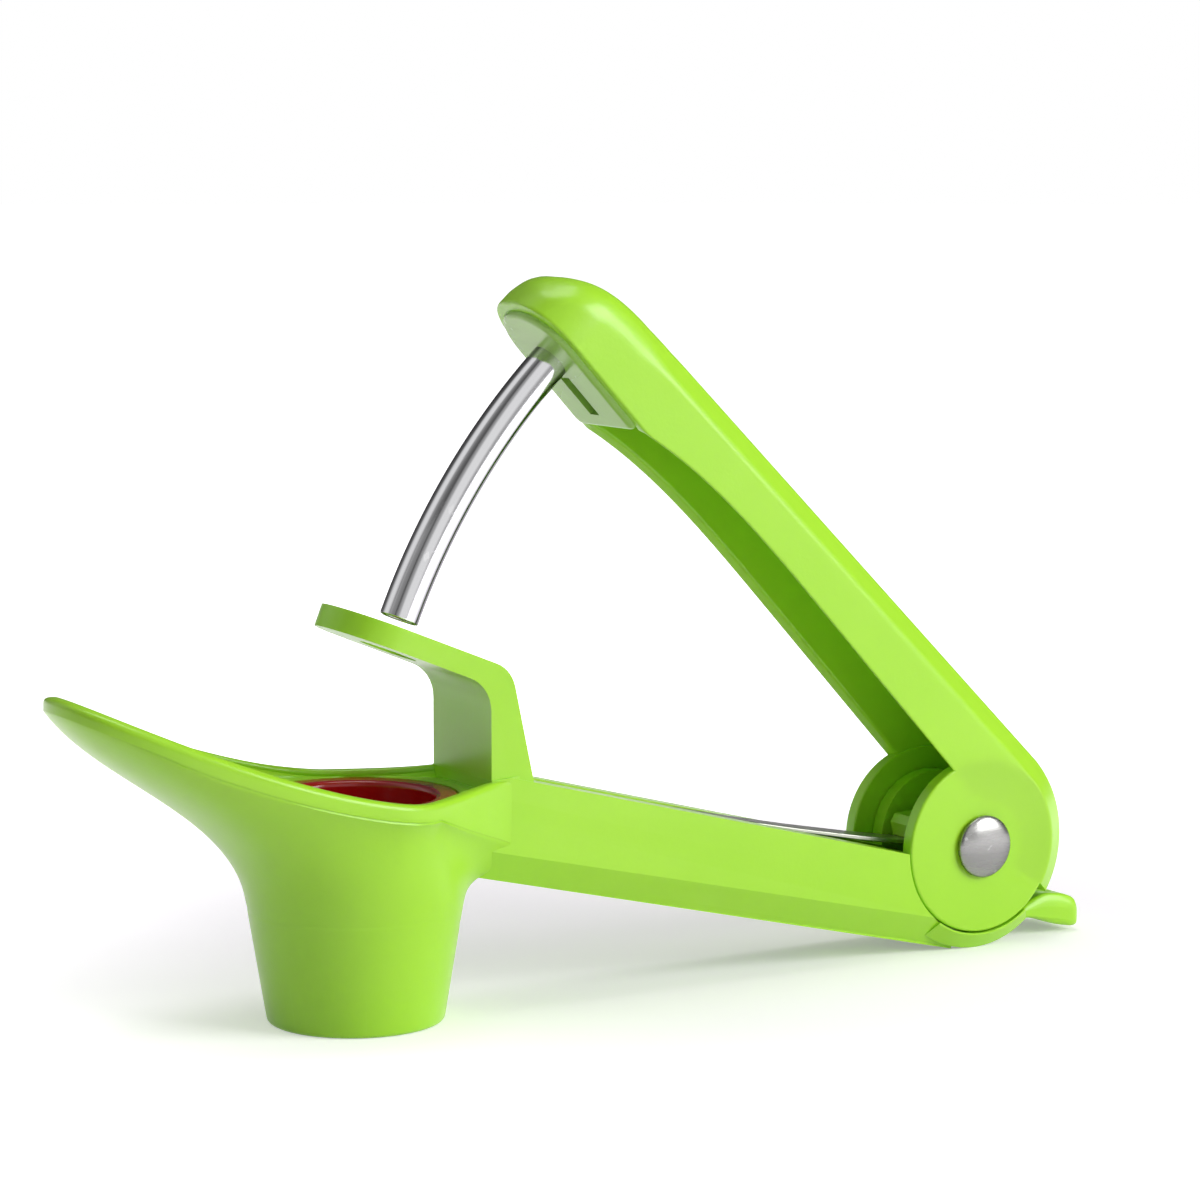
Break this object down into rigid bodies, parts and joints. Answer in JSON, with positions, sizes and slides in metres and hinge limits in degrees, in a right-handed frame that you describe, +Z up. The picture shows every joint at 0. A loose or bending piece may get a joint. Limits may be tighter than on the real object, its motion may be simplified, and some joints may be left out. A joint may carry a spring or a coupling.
{
  "type": "cherry pitter",
  "caption": "Hand-held stone pitter: spoon tray over an open cup, guide arch, and a hinged lever with a curved hollow punch.",
  "frame": {"origin": "middle of the footprint, on the table that the cup and the round underside of the hinge stand on", "axes": "+X from the tray's tip to the hinge end, +Y across the tool, +Z up"},
  "size_m": [0.19, 0.0422, 0.1151],
  "materials": {
    "green_plastic": "gloss",
    "polished_steel": "polished",
    "holder_plastic": "gloss",
    "red_liner": "gloss",
    "spring_steel": "satin"
  },
  "bodies": {
    "base": {"body": "green_plastic", "cup_liner": "red_liner", "hinge_pin": "polished_steel", "pin_cap": "polished_steel"},
    "lever": {"lever": "green_plastic", "punch_tube": "polished_steel", "punch_holder": "holder_plastic"},
    "spring": {"leaf_spring": "spring_steel"},
    "lock": {"lock_slide": "green_plastic"}
  },
  "joints": [
    {"name": "lever_hinge", "type": "hinge", "parent": "base", "child": "lever", "pos_m": [0.0705, 0, 0.0179], "axis": [0, -1, 0], "range_deg": [0, 24.6], "stiffness_Nm_per_rad": 0.15, "springref_deg": -40.11},
    {"name": "spring_flex", "type": "hinge", "parent": "base", "child": "spring", "pos_m": [-0.0187, 0, 0.0361], "axis": [0, 1, 0], "range_deg": [0, 2.75]},
    {"name": "lock_travel", "type": "slide", "parent": "base", "child": "lock", "axis": [-1, 0, 0], "range_m": [0, 0.0047]}
  ],
  "couplings": [
    {"joint": "spring_flex", "follows": "lever_hinge", "ratio": 0.1118}
  ]
}
